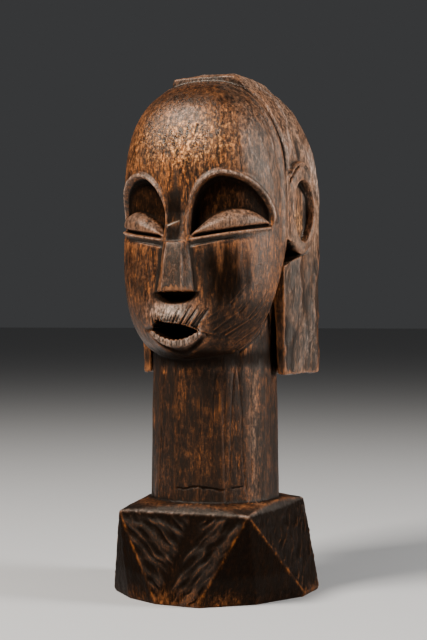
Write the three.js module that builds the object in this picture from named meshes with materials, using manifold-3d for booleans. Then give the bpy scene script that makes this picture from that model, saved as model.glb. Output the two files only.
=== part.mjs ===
// A head carved from one log: a masked face with hollow arched eyes, a helmet of hair with a crest and
// two hanging lappets, ring ears, a column neck, and a block foot that turns from square to round.
// Millimetres, +Z up. The face looks along -Y, and the origin is on the ground on the neck's axis.
import * as THREE from "three";
import { ConvexGeometry } from "three/addons/geometries/ConvexGeometry.js";
import { mergeVertices } from "three/addons/utils/BufferGeometryUtils.js";
import Module from "manifold-3d";

const wasm = await Module();
wasm.setup();

const { smoothstep, lerp, degToRad } = THREE.MathUtils;

// Foot block: four corners of its top, the short toe under each side, and the bulge under each corner.
const FOOT = {
  edgeZ: 65,
  shoulderZ: 71,
  shoulderRadius: 49,
  shoulderSides: 24,
  chamfer: 3,
  chamferScale: 0.98,
  topCorners: [
    [-48, -58],
    [49.5, -52],
    [48, 61],
    [-49, 59],
  ],
  sides: [
    { facing: -90, reach: 58, shift: -3, half: 17 },
    { facing: 0, reach: 68, shift: 26, half: 15 },
    { facing: 90, reach: 66, shift: 0, half: 17 },
    { facing: 180, reach: 69.5, shift: -8, half: 17 },
  ],
  bulges: [
    { facing: -33, radius: 56 },
    { facing: 60, radius: 71 },
    { facing: 128, radius: 72 },
    { facing: 225, radius: 65.5 },
  ],
};

const NECK = { x: 1.5, topRadius: 44.5, bottomRadius: 47.5, fromZ: 60, toZ: 262, facets: 16, turn: -37 };

// The skull is an egg whose sections are squarer than ellipses, and slide forward away from its widest level.
const SKULL = {
  wideZ: 275,
  above: 96,
  below: 106.5,
  roundAbove: 2.6,
  roundBelow: 3.1,
  halfWidth: 61.5,
  frontDepth: 65,
  backDepth: 60,
  squareness: 2.45,
  centreY: 2,
  slideBelow: 0.1,
  slideAbove: -0.09,
};
// Relief fades out where a section is narrower than this share, so that the poles stay closed.
const POLE_FADE = 0.3;
// The jaw is cut off behind by a steep plane from the ear lobes down to the chin.
const JAW = { earY: -12.5, earZ: 241, chinY: -34, chinZ: 178 };

// Places on the face are an arc length from the midline and a height.
const ARC_RADIUS = 62;
const EYE = {
  inner: 9.5,
  outer: 69.5,
  innerZ: 257.8,
  outerZ: 267,
  lidRise: 14.5,
  lidBow: 0.8,
  lidRoll: 2.2,
  lidStep: 0.8,
  hollow: 9.5,
  outerShare: 0.42,
  wall: 8,
  browArc: 34,
  browZ: 268,
  browRise: 32.5,
  browInner: 25,
  browOuter: 36.5,
  browBend: 1.75,
  rim: { radius: 1.8, sunk: 0, from: 172, to: 8, dive: 2.2 },
  slit: { from: 12.5, radius: 1.9, sunk: 1.4, rise: 0.4 },
};
// The nose is a low bridge down to a flat face, which is cut off square below.
const NOSE = {
  topZ: 290,
  faceZ: 254.5,
  baseZ: 219.5,
  bridge: 0.8,
  faceTop: 2.4,
  faceBase: 6.2,
  ridgeTop: 5.2,
  ridgeBase: 7.2,
  footTop: 10,
  footBase: 15.8,
  nostril: { y: -67, z: 219.5, half: [16, 9, 7] },
};
// The cheeks sink a little beside the nose.
const CHEEK = { hollow: 2.2, arc: 20, reach: 9, z: 238, height: 22 };
const MOUTH = {
  z: 193.3,
  mound: 8.5,
  moundZ: 188,
  moundUp: 20,
  moundDown: 13,
  moundArc: 25,
  lip: { arc: 20, z: 184, curl: 8, radius: 3.3, sunk: 0.8, dive: 3 },
  cavity: { y: -67, half: [18.5, 14, 5.6] },
};

// The helmet of hair: a boxy dome with straight walls, open in front at the hairline.
const HAIR = {
  bottomZ: 161,
  domeZ: 262,
  topZ: 376,
  halfWidth: 64.5,
  halfDepth: 58,
  centreY: 10,
  corner: 5.5,
  fullness: 2.8,
  waist: 0.957,
  backFlare: 0.0012,
  tuck: { inward: 0.09, frontY: -1, backY: 52 },
  crestHalf: 24,
  crestRise: 4,
  crestForward: 2,
};
// Further than any part of the head reaches, for the cutting blocks.
const BEYOND = 400;
// The hairline from the crown down to the tip of the lappet, as y and z.
const HAIRLINE = [
  [-19, BEYOND],
  [-17, 374],
  [-12, 345],
  [-9, 316],
  [-8, 286],
  [-9, 250],
  [-7, 215],
  [-1, 161],
];
// The groove between the forehead and the hair, from the crest down to the ear.
const GROOVE = { forward: 0.5, back: 2, depth: 2, bottomZ: 250 };
// The slot between each lappet and the neck.
const SLOT = { innerX: 43.5, outerX: 50.5, frontY: -30, backY: 20, topZ: 236 };

// A ring ear that turns outward towards the back, the sunk middle of it, and the wedge cut under its lobe.
const EAR = {
  x: 65,
  y: 17.5,
  z: 280,
  turn: 6.5,
  half: [21.5, 32],
  thick: 12,
  bevel: 2.5,
  recess: { shift: 1.5, half: [12.2, 21.3], depth: 6.5 },
  notch: { x: 66, y: 6, z: 247.5, half: [9, 14, 3.6] },
};

const WOOD = new THREE.MeshStandardMaterial({ color: 0x5a3a26, roughness: 0.5, metalness: 0 });

// A closed geometry as a manifold-3d solid.
function solid(geometry) {
  const bare = new THREE.BufferGeometry().setAttribute("position", geometry.getAttribute("position"));
  if (geometry.index) bare.setIndex(geometry.index);
  const merged = mergeVertices(bare, 1e-3);
  return new wasm.Manifold(
    new wasm.Mesh({
      numProp: 3,
      vertProperties: merged.attributes.position.array,
      triVerts: new Uint32Array(merged.index.array),
    }),
  );
}

function geometryOf(made) {
  const mesh = made.getMesh();
  const geometry = new THREE.BufferGeometry();
  geometry.setAttribute("position", new THREE.BufferAttribute(mesh.vertProperties, 3));
  geometry.setIndex(new THREE.BufferAttribute(mesh.triVerts, 1));
  return geometry;
}

// A closed skin of rows from a top pole to a bottom pole. place(turn, row) gives each vertex, where
// turn is the angle from the face's midline towards +X.
function skin(turns, rowCount, place) {
  const geometry = new THREE.SphereGeometry(1, turns.length - 1, rowCount);
  const position = geometry.getAttribute("position");
  for (let row = 0; row <= rowCount; row += 1) {
    turns.forEach((turn, column) => {
      const at = place(turn, row);
      position.setXYZ(row * turns.length + column, at.x, at.y, at.z);
    });
  }
  return solid(geometry);
}

// Turns round the whole circle, close together over the face and wide apart behind.
function facingTurns(faceLimit, faceSteps, backSteps) {
  const turns = [];
  for (let i = 0; i < backSteps; i += 1) turns.push(lerp(-180, -faceLimit, i / backSteps));
  for (let i = 0; i < faceSteps; i += 1) turns.push(lerp(-faceLimit, faceLimit, i / faceSteps));
  for (let i = 0; i <= backSteps; i += 1) turns.push(lerp(faceLimit, 180, i / backSteps));
  return turns.map(degToRad);
}

// A block between two corners.
function block(low, high) {
  const size = high.map((value, axis) => value - low[axis]);
  const centre = high.map((value, axis) => (value + low[axis]) / 2);
  return solid(new THREE.BoxGeometry(...size).translate(...centre));
}

function ball(centre, half) {
  return solid(new THREE.SphereGeometry(1, 24, 12).scale(...half).translate(...centre));
}

// A six-sided bar along a curve, with closed ends.
function bar(points, radius, steps) {
  const section = new THREE.Shape().absarc(0, 0, radius, 0, 2 * Math.PI);
  return solid(
    new THREE.ExtrudeGeometry(section, {
      extrudePath: new THREE.CatmullRomCurve3(points),
      steps,
      curveSegments: 3,
      bevelEnabled: false,
    }),
  );
}

// An outline in the Y-Z plane, extruded along X from one x to another.
function sidePlate(shape, fromX, toX, options = {}) {
  const geometry = new THREE.ExtrudeGeometry(shape, { depth: toX - fromX, bevelEnabled: false, ...options });
  const axes = [new THREE.Vector3(0, 1, 0), new THREE.Vector3(0, 0, 1), new THREE.Vector3(1, 0, 0)];
  return geometry.applyMatrix4(new THREE.Matrix4().makeBasis(...axes)).translate(fromX, 0, 0);
}

function footBlock() {
  const toes = FOOT.sides.flatMap(({ facing, reach, shift, half }) =>
    [shift - half, shift + half].map((across) => {
      const out = degToRad(facing);
      const alongY = Math.abs(Math.sin(out)) > 0.5;
      return alongY ? [across, Math.sin(out) * reach] : [Math.cos(out) * reach, across];
    }),
  );
  const bulges = FOOT.bulges.map(({ facing, radius }) => {
    const out = degToRad(facing);
    return [Math.cos(out) * radius, Math.sin(out) * radius];
  });
  const outline = [...toes, ...bulges];
  const points = [
    ...outline.map(([x, y]) => new THREE.Vector3(x * FOOT.chamferScale, y * FOOT.chamferScale, 0)),
    ...outline.map(([x, y]) => new THREE.Vector3(x, y, FOOT.chamfer)),
    ...FOOT.topCorners.map(([x, y]) => new THREE.Vector3(x, y, FOOT.edgeZ)),
  ];
  for (let i = 0; i < FOOT.shoulderSides; i += 1) {
    const turn = (i / FOOT.shoulderSides) * 2 * Math.PI;
    points.push(
      new THREE.Vector3(
        NECK.x + Math.cos(turn) * FOOT.shoulderRadius,
        Math.sin(turn) * FOOT.shoulderRadius,
        FOOT.shoulderZ,
      ),
    );
  }
  return solid(new ConvexGeometry(points));
}

function neckColumn() {
  const { x, topRadius, bottomRadius, fromZ, toZ, facets, turn } = NECK;
  return solid(
    new THREE.CylinderGeometry(topRadius, bottomRadius, toZ - fromZ, facets)
      .rotateX(Math.PI / 2)
      .rotateZ(degToRad(turn))
      .translate(x, 0, (fromZ + toZ) / 2),
  );
}

// How wide a section of a dome is at a share of its height.
const domeShare = (share, fullness) => (1 - Math.min(Math.abs(share), 1) ** fullness) ** (1 / fullness);

// A power that keeps the sign.
const signedPower = (value, power) => Math.sign(value) * Math.abs(value) ** power;

// A point of the skull's plain egg and the direction outward, at a turn from the midline.
function skullSurface(turn, z) {
  const { wideZ, above, below, roundAbove, roundBelow, halfWidth, squareness } = SKULL;
  const up = z - wideZ;
  const share = up > 0 ? domeShare(up / above, roundAbove) : domeShare(up / below, roundBelow);
  const centreY = SKULL.centreY + up * (up > 0 ? SKULL.slideAbove : SKULL.slideBelow);
  const depth = Math.cos(turn) > 0 ? SKULL.frontDepth : SKULL.backDepth;
  const [sine, cosine] = [Math.sin(turn), Math.cos(turn)];
  const size = (Math.abs(sine) ** squareness + Math.abs(cosine) ** squareness) ** (1 / squareness);
  const [side, front] = [sine / size, cosine / size];
  const at = new THREE.Vector3(side * halfWidth * share, centreY - front * depth * share, z);
  const out = new THREE.Vector3(
    signedPower(side, squareness - 1) / halfWidth,
    -signedPower(front, squareness - 1) / depth,
    0,
  );
  return { at, out: out.normalize(), share };
}

function facePoint(arc, z, proud) {
  const { at, out } = skullSurface(arc / ARC_RADIUS, z);
  return at.addScaledVector(out, proud);
}

const eyeShare = (arc) => (arc - EYE.inner) / (EYE.outer - EYE.inner);
const slitZ = (arc) => lerp(EYE.innerZ, EYE.outerZ, eyeShare(arc));
const lidZ = (arc) => slitZ(arc) + EYE.lidRise * Math.sin(Math.PI * eyeShare(arc)) ** EYE.lidBow;

// Inside the brow's arch this is the distance to it, and outside it is negative. The arch is a quarter of
// an ellipse beside the nose and falls straighter towards the temple.
function underBrow(arc, z) {
  const nearNose = arc < EYE.browArc;
  const power = nearNose ? 2 : EYE.browBend;
  const across = Math.abs(arc - EYE.browArc) / (nearNose ? EYE.browInner : EYE.browOuter);
  const up = Math.abs(z - EYE.browZ) / EYE.browRise;
  return (1 - (across ** power + up ** power) ** (1 / power)) * EYE.browRise;
}

// The hollow under the brow, with the closed lid standing in it.
function eyeRelief(arc, z) {
  const share = eyeShare(arc);
  const slit = slitZ(arc);
  if (share < 0 || share > 1 || z < slit) return 0;
  const deep = EYE.hollow * lerp(1, EYE.outerShare, share);
  const floor = -deep * smoothstep(underBrow(arc, z), 0, EYE.wall);
  const up = (z - slit) / Math.max(lidZ(arc) - slit, 0.5);
  const lid = -EYE.lidStep - (deep - EYE.lidStep) * up ** EYE.lidRoll;
  return Math.max(floor, lid);
}

// The nose: a flat front with sloping sides.
function noseRelief(arc, z) {
  const { topZ, faceZ, baseZ, bridge, faceTop, faceBase } = NOSE;
  if (z < baseZ || z > topZ) return 0;
  const down = Math.max(faceZ - z, 0) / (faceZ - baseZ);
  const onBridge = bridge * smoothstep(topZ - z, 0, topZ - faceZ);
  const rise = z > faceZ ? onBridge : lerp(faceTop, faceBase, down);
  const ridge = lerp(NOSE.ridgeTop, NOSE.ridgeBase, down);
  const foot = lerp(NOSE.footTop, NOSE.footBase, down);
  return rise * (1 - smoothstep(arc, ridge, foot));
}

function cheekRelief(arc, z) {
  const { hollow, reach, height } = CHEEK;
  return -hollow * Math.exp(-(((arc - CHEEK.arc) / reach) ** 2) - ((z - CHEEK.z) / height) ** 2);
}

// The mouth stands on a rounded mound.
function mouthRelief(arc, z) {
  const { mound, moundZ, moundUp, moundDown, moundArc } = MOUTH;
  const height = (z - moundZ) / (z > moundZ ? moundUp : moundDown);
  return mound * Math.exp(-(height ** 2) - (arc / moundArc) ** 2);
}

function faceRelief(turn, z) {
  const arc = Math.abs(turn) * ARC_RADIUS;
  return eyeRelief(arc, z) + noseRelief(arc, z) + cheekRelief(arc, z) + mouthRelief(arc, z);
}

// Heights of the skull's rows, from the crown's pole to the chin's, close together over the face.
function skullRows() {
  const crown = SKULL.wideZ + SKULL.above;
  const chin = SKULL.wideZ - SKULL.below;
  const [faceTop, faceBottom] = [304, 178];
  const [crownRows, faceRows, chinRows] = [7, 35, 4];
  const rows = [];
  const quarter = Math.PI / 2;
  for (let i = 0; i < crownRows; i += 1) rows.push(lerp(faceTop, crown, Math.cos((i / crownRows) * quarter)));
  for (let i = 0; i < faceRows; i += 1) rows.push(lerp(faceTop, faceBottom, i / faceRows));
  for (let i = 0; i <= chinRows; i += 1) rows.push(lerp(faceBottom, chin, Math.sin((i / chinRows) * quarter)));
  return rows;
}

// The skull and face. The hair fills what the cut behind the jaw takes away above the ears.
function skullMass() {
  const rows = skullRows();
  const turns = facingTurns(76, 40, 5);
  const mass = skin(turns, rows.length - 1, (turn, row) => {
    const { at, out, share } = skullSurface(turn, rows[row]);
    return at.addScaledVector(out, faceRelief(turn, rows[row]) * smoothstep(share, 0, POLE_FADE));
  });
  const slope = Math.atan2(JAW.earZ - JAW.chinZ, JAW.earY - JAW.chinY);
  const behind = new THREE.BoxGeometry(BEYOND, BEYOND, BEYOND)
    .translate(0, 0, -BEYOND / 2)
    .rotateX(slope)
    .translate(0, JAW.earY, JAW.earZ);
  return mass.subtract(solid(behind));
}

// Points along the face from arc to arc, whose ends dive into the wood.
function faceCurve(side, from, to, count, heightAt, proudAt, dive) {
  const points = [];
  for (let i = 0; i <= count; i += 1) {
    const arc = lerp(from, to, i / count);
    const sunk = i === 0 || i === count ? dive : 0;
    points.push(facePoint(side * arc, heightAt(arc), proudAt(arc) - sunk));
  }
  return points;
}

// The brow's raised rim follows the arch from beside the nose to the outer corner.
function browRim(side) {
  const { radius, sunk, from, to, dive } = EYE.rim;
  const points = [];
  const steps = 12;
  for (let i = 0; i <= steps; i += 1) {
    const swing = degToRad(lerp(from, to, i / steps));
    const nearNose = Math.cos(swing) < 0;
    const bend = 2 / (nearNose ? 2 : EYE.browBend);
    const arc = EYE.browArc + signedPower(Math.cos(swing), bend) * (nearNose ? EYE.browInner : EYE.browOuter);
    const z = EYE.browZ + Math.sin(swing) ** bend * EYE.browRise;
    const down = i === 0 || i === steps ? dive : 0;
    points.push(facePoint(side * arc, z, -sunk - down));
  }
  return bar(points, radius, 20);
}

function lipCurve(arc) {
  return MOUTH.lip.z + MOUTH.lip.curl * (arc / MOUTH.lip.arc) ** 2;
}

// The hollow cut up under the nose, flat on top.
function nostrils() {
  const { y, z, half } = NOSE.nostril;
  return ball([0, y, z], half).intersect(block([-BEYOND, -BEYOND, 0], [BEYOND, BEYOND, NOSE.baseZ]));
}

function face() {
  let made = skullMass();
  const { lip, cavity, z } = MOUTH;
  const lipProud = (arc) => mouthRelief(arc, lipCurve(arc)) - lip.sunk;
  made = made.add(bar(faceCurve(1, -lip.arc, lip.arc, 8, lipCurve, lipProud, lip.dive), lip.radius, 14));
  made = made.subtract(ball([0, cavity.y, z], cavity.half));
  made = made.subtract(nostrils());
  for (const side of [-1, 1]) {
    made = made.add(browRim(side));
    const { from, radius, sunk, rise } = EYE.slit;
    const slit = faceCurve(side, from, EYE.outer, 8, slitZ, () => -sunk, -rise);
    made = made.subtract(bar(slit, radius, 12));
  }
  return made;
}

// The walls under the dome lean inward towards the lappets' front tips.
function tuckIn(y, z) {
  const { inward, frontY, backY } = HAIR.tuck;
  const down = Math.max(HAIR.domeZ - z, 0) / (HAIR.domeZ - HAIR.bottomZ);
  return 1 - inward * down * Math.min(Math.max((backY - y) / (backY - frontY), 0), 1);
}

// The hair's dome and walls, grown outward by a margin.
function hairDome(grow) {
  const top = HAIR.topZ + grow;
  const domeRows = 9;
  const rows = [];
  for (let i = 0; i <= domeRows; i += 1) {
    rows.push([lerp(HAIR.domeZ, top, Math.cos((i / domeRows) * (Math.PI / 2))), 1]);
  }
  rows.push([(HAIR.domeZ + HAIR.bottomZ) / 2, 1], [HAIR.bottomZ, 1], [HAIR.bottomZ, 0]);
  const turns = facingTurns(90, 10, 13);
  return skin(turns, rows.length - 1, (turn, row) => {
    const [z, spread] = rows[row];
    const share = domeShare(Math.max(z - HAIR.domeZ, 0) / (top - HAIR.domeZ), HAIR.fullness) * spread;
    const [sine, cosine] = [Math.sin(turn), -Math.cos(turn)];
    const wide = Math.abs(sine / (HAIR.halfWidth + grow)) ** HAIR.corner;
    const deep = Math.abs(cosine / (HAIR.halfDepth + grow)) ** HAIR.corner;
    const radius = share / (wide + deep) ** (1 / HAIR.corner);
    const y = HAIR.centreY + cosine * radius;
    const x = sine * radius * (HAIR.waist + HAIR.backFlare * y) * tuckIn(y, z);
    return new THREE.Vector3(x, y, z);
  });
}

// Everything behind the hairline, as a plate across the head.
function behindHairline(forward) {
  const shape = new THREE.Shape();
  HAIRLINE.forEach(([y, z], i) => (i ? shape.lineTo(y - forward, z) : shape.moveTo(y - forward, z)));
  shape.lineTo(BEYOND, HAIR.bottomZ);
  shape.lineTo(BEYOND, BEYOND);
  shape.closePath();
  return solid(sidePlate(shape, -BEYOND, BEYOND));
}

// The middle of the head from front to back, as wide as the crest.
function crestBand() {
  return block([-HAIR.crestHalf, -BEYOND, HAIR.bottomZ], [HAIR.crestHalf, BEYOND, BEYOND]);
}

function hair() {
  const crest = hairDome(HAIR.crestRise).intersect(crestBand()).intersect(behindHairline(HAIR.crestForward));
  return hairDome(0).intersect(behindHairline(0)).add(crest);
}

function hairlineGroove() {
  const strip = behindHairline(GROOVE.forward).subtract(behindHairline(-GROOVE.back)).subtract(crestBand());
  const above = block([-BEYOND, -BEYOND, GROOVE.bottomZ], [BEYOND, BEYOND, BEYOND]);
  return strip.intersect(above).subtract(hairDome(-GROOVE.depth));
}

function slots() {
  const { innerX, outerX, frontY, backY, topZ } = SLOT;
  const right = block([innerX, frontY, HAIR.bottomZ - 0.5], [outerX, backY, topZ]);
  const left = block([-outerX, frontY, HAIR.bottomZ - 0.5], [-innerX, backY, topZ]);
  return right.add(left);
}

function ellipse(y, z, half) {
  return new THREE.Shape().absellipse(y, z, half[0], half[1], 0, 2 * Math.PI);
}

// One ear: a bevelled disc with a sunk middle. The left one is the right one mirrored.
function earParts(side) {
  const { x, y, z, turn, half, thick, bevel, recess, notch } = EAR;
  const placed = (plate) => solid(plate.rotateZ(-degToRad(turn)).translate(x, y, z));
  const inner = ellipse(0, 0, [half[0] - bevel, half[1] - bevel]);
  const disc = placed(
    sidePlate(inner, -thick, -bevel, {
      bevelEnabled: true,
      bevelSize: bevel,
      bevelThickness: bevel,
      bevelSegments: 2,
      curveSegments: 14,
    }),
  );
  const middle = ellipse(recess.shift, 0, recess.half);
  const sink = placed(sidePlate(middle, -recess.depth, thick, { curveSegments: 12 }));
  const under = ball([notch.x, notch.y, notch.z], notch.half);
  const mirror = (made) => (side > 0 ? made : made.mirror([1, 0, 0]));
  return { disc: mirror(disc), sink: mirror(sink), notch: mirror(under) };
}

function carving() {
  const log = footBlock().add(neckColumn()).add(hair().subtract(slots()));
  let made = log.add(face()).subtract(hairlineGroove());
  for (const side of [-1, 1]) {
    const ear = earParts(side);
    made = made.subtract(ear.notch).add(ear.disc).subtract(ear.sink);
  }
  return made;
}

const head = new THREE.Mesh(geometryOf(carving()), WOOD);
head.name = "carved_head";

const group = new THREE.Group();
group.add(head);

export default group;
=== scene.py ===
"""A carved wooden head on a tall neck and a block foot, in worn dark patina.

The wood is a field of distances on a grid, in millimetres, from the same named sizes as the solid. The
surface is pulled out of the field, tooled along its normals, thinned, and painted by procedural nodes.
"""

from itertools import product
from math import atan2, cos, hypot, inf, pi, radians, sin
from types import SimpleNamespace as Sizes

import bmesh
import bpy
import numpy as np
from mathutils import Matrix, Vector


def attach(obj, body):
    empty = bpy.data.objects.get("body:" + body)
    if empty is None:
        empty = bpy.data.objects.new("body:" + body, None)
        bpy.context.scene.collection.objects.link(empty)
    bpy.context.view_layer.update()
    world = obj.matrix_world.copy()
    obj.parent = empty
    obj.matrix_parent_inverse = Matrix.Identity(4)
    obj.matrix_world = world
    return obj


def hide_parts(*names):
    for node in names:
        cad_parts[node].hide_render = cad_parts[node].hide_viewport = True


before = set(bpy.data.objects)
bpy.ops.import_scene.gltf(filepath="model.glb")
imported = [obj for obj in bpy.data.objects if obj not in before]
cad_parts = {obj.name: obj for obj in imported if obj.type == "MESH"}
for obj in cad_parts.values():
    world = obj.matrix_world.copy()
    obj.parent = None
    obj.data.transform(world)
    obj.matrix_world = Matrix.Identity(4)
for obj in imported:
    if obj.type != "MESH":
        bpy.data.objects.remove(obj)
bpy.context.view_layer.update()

MM = 0.001
REAL = np.float32
SEED = 7

# The sampled block: along each axis, stretches of start, end and the distance between the samples.
BLOCK = (
    [(-77, 77, 0.75)],
    [(-94, -20, 0.65), (-20, 78, 1.0)],
    [(-5, 76, 1.1), (76, 88, 0.6), (88, 168, 1.1), (168, 318, 0.62), (318, 386, 0.85)],
)
COARSER = 1
FAR = 12
HOLLOW_STEP = 1.7
HOLLOW_REACH = 9
MOST_TRIANGLES = 192000
CORNERS = list(product((0, 1), repeat=3))
HASH = np.array((374761393, 668265263, 2147483647), np.uint32)

FOOT = Sizes(
    edge_z=65, shoulder_z=71, shoulder_radius=49, shoulder_points=24, chamfer=3, chamfer_scale=0.98,
    top_corners=[(-48, -58), (49.5, -52), (48, 61), (-49, 59)],
    # Facing in degrees, reach, and the toe's shift and half width along the side.
    sides=[(-90, 58, -3, 17), (0, 68, 26, 15), (90, 66, 0, 17), (180, 69.5, -8, 17)],
    # Facing in degrees and radius.
    bulges=[(-33, 56), (60, 71), (128, 72), (225, 65.5)],
)
NECK = Sizes(x=1.5, top=44.5, bottom=47.5, from_z=60, to_z=262, facets=16, first=-115.75, split_z=82)
SKULL = Sizes(
    wide_z=275, above=96, below=106.5, round_above=2.6, round_below=3.1, half_width=61.5, front=65, back=60,
    square=2.45, centre_y=2, slide_below=0.1, slide_above=-0.09,
)
JAW = Sizes(ear_y=-12.5, ear_z=241, chin_y=-34, chin_z=178)
ARC_RADIUS = 62
EYE = Sizes(
    inner=9.5, outer=69.5, inner_z=257.8, outer_z=267, lid_rise=14.5, lid_step=0.4, lid_swell=1.8,
    hollow=9.5, outer_share=0.42, wall=4.5, brow_arc=34, brow_z=268, brow_rise=32.5, brow_inner=25,
    brow_outer=36.5, brow_bend=1.75,
)
NOSE = Sizes(
    top_z=290, face_z=254.5, base_z=219.5, bridge=0.8, face_top=2.4, face_base=6.2, ridge_top=5.4,
    ridge_base=6.8, foot_top=10.4, foot_base=15.6, under=7.5, lens=8.2, lens_half=18,
)
CHEEK = Sizes(hollow=2.2, arc=20, reach=9, z=238, height=22)
MOUTH = Sizes(
    mound=8.5, mound_z=188, up=20, down=13, arc=25, half=19, z=192.8, top=5.0, bottom=6.3, back_y=-48,
    lip=3.6, lip_z=199, lip_height=7.5, lip_arc=19,
)
LIP = Sizes(arc=20, z=183.8, curl=8, radius=3.3, sunk=-0.5, balls=41)
HAIR = Sizes(
    bottom_z=161, dome_z=262, top_z=376, half_width=64.5, half_depth=58, centre_y=10, corner=5.5,
    fullness=2.8, waist=0.957, back_flare=0.0012, tuck=0.09, tuck_front=-1, tuck_back=52, crest_half=24,
    crest_right=33, crest_rise=4, facet_x=62.5, facet_y=55.0, facet_normal=(0.83, 0.56),
)
# The hairline from the lappet's tip up to the crown, as z and y.
HAIRLINE = [(161, -1), (215, -7), (250, -9), (286, -8), (316, -9), (345, -12), (374, -17), (400, -19)]
SLOT = Sizes(inner=43.5, outer=50.5, front=-30, back=20, top=236)
EAR = Sizes(x=64.6, y=17.5, z=280, turn=9, half=(21.5, 32), sink=(14.8, 22.4), sink_back=0.4, thick=12)
WEDGE = Sizes(y=4.5, z=247, above=8, below=3.6, half=13, inner=52)

# Places on the face, as the arc from the midline and z.
TEMPLE_LINES = [
    [(73, 345), (77, 330), (76.8, 311)],
    [(62, 341), (54.5, 333), (54, 317.5), (62.5, 307)],
    [(67.5, 307), (71.5, 292)],
    [(64, 333), (66, 316)],
]
# Scored lines, as start, end, width and depth: the creases at the mouth's corners, and two marks.
CREASES = [
    ((16, 193.9), (25, 189.4), 1.2, 3.0),
    ((25, 189.4), (36, 187.6), 1.1, 1.3),
    ((-17, 194.2), (-33, 193.0), 1.3, 2.8),
]
BROW_SCAR = ((16.5, 334.0), (13.2, 325.0), 0.9, 0.8)
BRIDGE_SCRATCH = ((-6.6, 265.8), (2.4, 268.6), 0.45, 0.7)


def clamp(value):
    return np.clip(value, 0, 1)


def smooth(value, low, high):
    share = clamp((value - low) / (high - low))
    return share * share * (3 - 2 * share)


def fade(value, low, high):
    return 1 - smooth(value, low, high)


def between(value, low, full, still, high):
    """Rises from low to full, and fades away from still to high."""
    return smooth(value, low, full) * fade(value, still, high)


def bell(value, middle, width):
    return np.exp(-(((value - middle) / width) ** 2))


def blend_min(a, b, k):
    h = np.maximum(k - abs(a - b), 0) / k
    return np.minimum(a, b) - h * h * k * 0.25


def blend_max(a, b, k):
    return -blend_min(-a, -b, k)


class Volume:
    """Distances to the wood on a grid, negative inside."""

    def __init__(self, block):
        self.axes = []
        for stretches in block:
            spans = [np.arange(low, high - step / 2, step * COARSER) for low, high, step in stretches]
            self.axes.append(np.append(np.concatenate(spans), stretches[-1][1]).astype(REAL))
        self.field = np.full([len(axis) for axis in self.axes], FAR, REAL)

    def window(self, low, high):
        """A part of the grid, and its coordinates along each axis."""
        spans = tuple(slice(*np.searchsorted(axis, ends)) for axis, ends in zip(self.axes, zip(low, high)))
        return spans, *np.ix_(*(axis[span] for axis, span in zip(self.axes, spans)))

    def join(self, low, high, shape, blend):
        spans, x, y, z = self.window(low, high)
        self.field[spans] = blend_min(self.field[spans], shape(x, y, z), blend)

    def cut(self, low, high, shape, blend):
        spans, x, y, z = self.window(low, high)
        self.field[spans] = blend_max(self.field[spans], -shape(x, y, z), blend)


# Noise on scattered points, from a hash of whole-number cells.

def hash_cells(cells, seed):
    mixed = cells.astype(np.uint32) @ HASH + np.uint32((SEED + seed) * 974711)
    mixed = (mixed ^ (mixed >> np.uint32(13))) * np.uint32(1274126177)
    mixed = mixed ^ (mixed >> np.uint32(16))
    return mixed.astype(REAL) / REAL(2**32)


def corner_shares(part):
    """Each corner of a cell, and how much it counts at every place in the cell."""
    for corner in CORNERS:
        x, y, z = (part[:, n] if corner[n] else 1 - part[:, n] for n in range(3))
        yield corner, x * y * z


def in_cells(points, size):
    """Where the points lie among cells of this size, and the cell that each is in."""
    at = points / np.asarray(size, REAL) + 1000
    return at, np.floor(at).astype(np.int64)


def value_noise(points, size, seed):
    """Smooth noise from -1 to 1, whose bumps are about size millimetres wide on each axis."""
    at, cell = in_cells(points, size)
    part = (at - cell).astype(REAL)
    part = part * part * (3 - 2 * part)
    total = 0
    for corner, share in corner_shares(part):
        total += share * hash_cells(cell + corner, seed)
    return total * 2 - 1


def layered_noise(points, size, seed, layers=2):
    total = 0
    for layer in range(layers):
        total += value_noise(points, np.asarray(size, REAL) / 2**layer, seed + layer) / 2**layer
    return total / 1.6


def scallops(points, size, seed):
    """How far each point is from the middle of its tool mark, and a random number for that mark."""
    at, cell = in_cells(points, size)
    nearest = np.full(len(points), 9, REAL)
    mark = np.zeros(len(points), REAL)
    for step in product((-1, 0, 1), repeat=3):
        near = cell + step
        gap = np.zeros(len(points), REAL)
        for axis in range(3):
            gap += (near[:, axis] + hash_cells(near, seed + 11 * axis) - at[:, axis]) ** 2
        closer = gap < nearest
        nearest = np.where(closer, gap, nearest)
        mark = np.where(closer, hash_cells(near, seed + 40), mark)
    return np.sqrt(nearest), mark


# The foot and the neck.

def foot_points():
    outline = []
    for facing, reach, shift, half in FOOT.sides:
        out = radians(facing)
        along_y = abs(sin(out)) > 0.5
        for across in (shift - half, shift + half):
            outline.append((across, sin(out) * reach) if along_y else (cos(out) * reach, across))
    for facing, radius in FOOT.bulges:
        out = radians(facing)
        outline.append((cos(out) * radius, sin(out) * radius))
    points = [(x * FOOT.chamfer_scale, y * FOOT.chamfer_scale, 0) for x, y in outline]
    points += [(x, y, FOOT.chamfer) for x, y in outline]
    points += [(x, y, FOOT.edge_z) for x, y in FOOT.top_corners]
    radius = FOOT.shoulder_radius
    for i in range(FOOT.shoulder_points):
        turn = i / FOOT.shoulder_points * 2 * pi
        points.append((NECK.x + cos(turn) * radius, sin(turn) * radius, FOOT.shoulder_z))
    return points


def foot_planes():
    """The planes of the foot's facets, each as a normal that points out and its distance."""
    mesh = bmesh.new()
    points = foot_points()
    for point in points:
        mesh.verts.new(point)
    bmesh.ops.convex_hull(mesh, input=mesh.verts)
    middle = Vector(np.mean(points, 0))
    planes = {}
    for face in mesh.faces:
        normal = face.normal.copy()
        offset = normal.dot(face.verts[0].co)
        if normal.dot(middle) > offset:
            normal, offset = -normal, -offset
        planes[tuple(round(value, 2) for value in (*normal, offset))] = (*normal, offset)
    mesh.free()
    return np.array(list(planes.values()), REAL)


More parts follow.
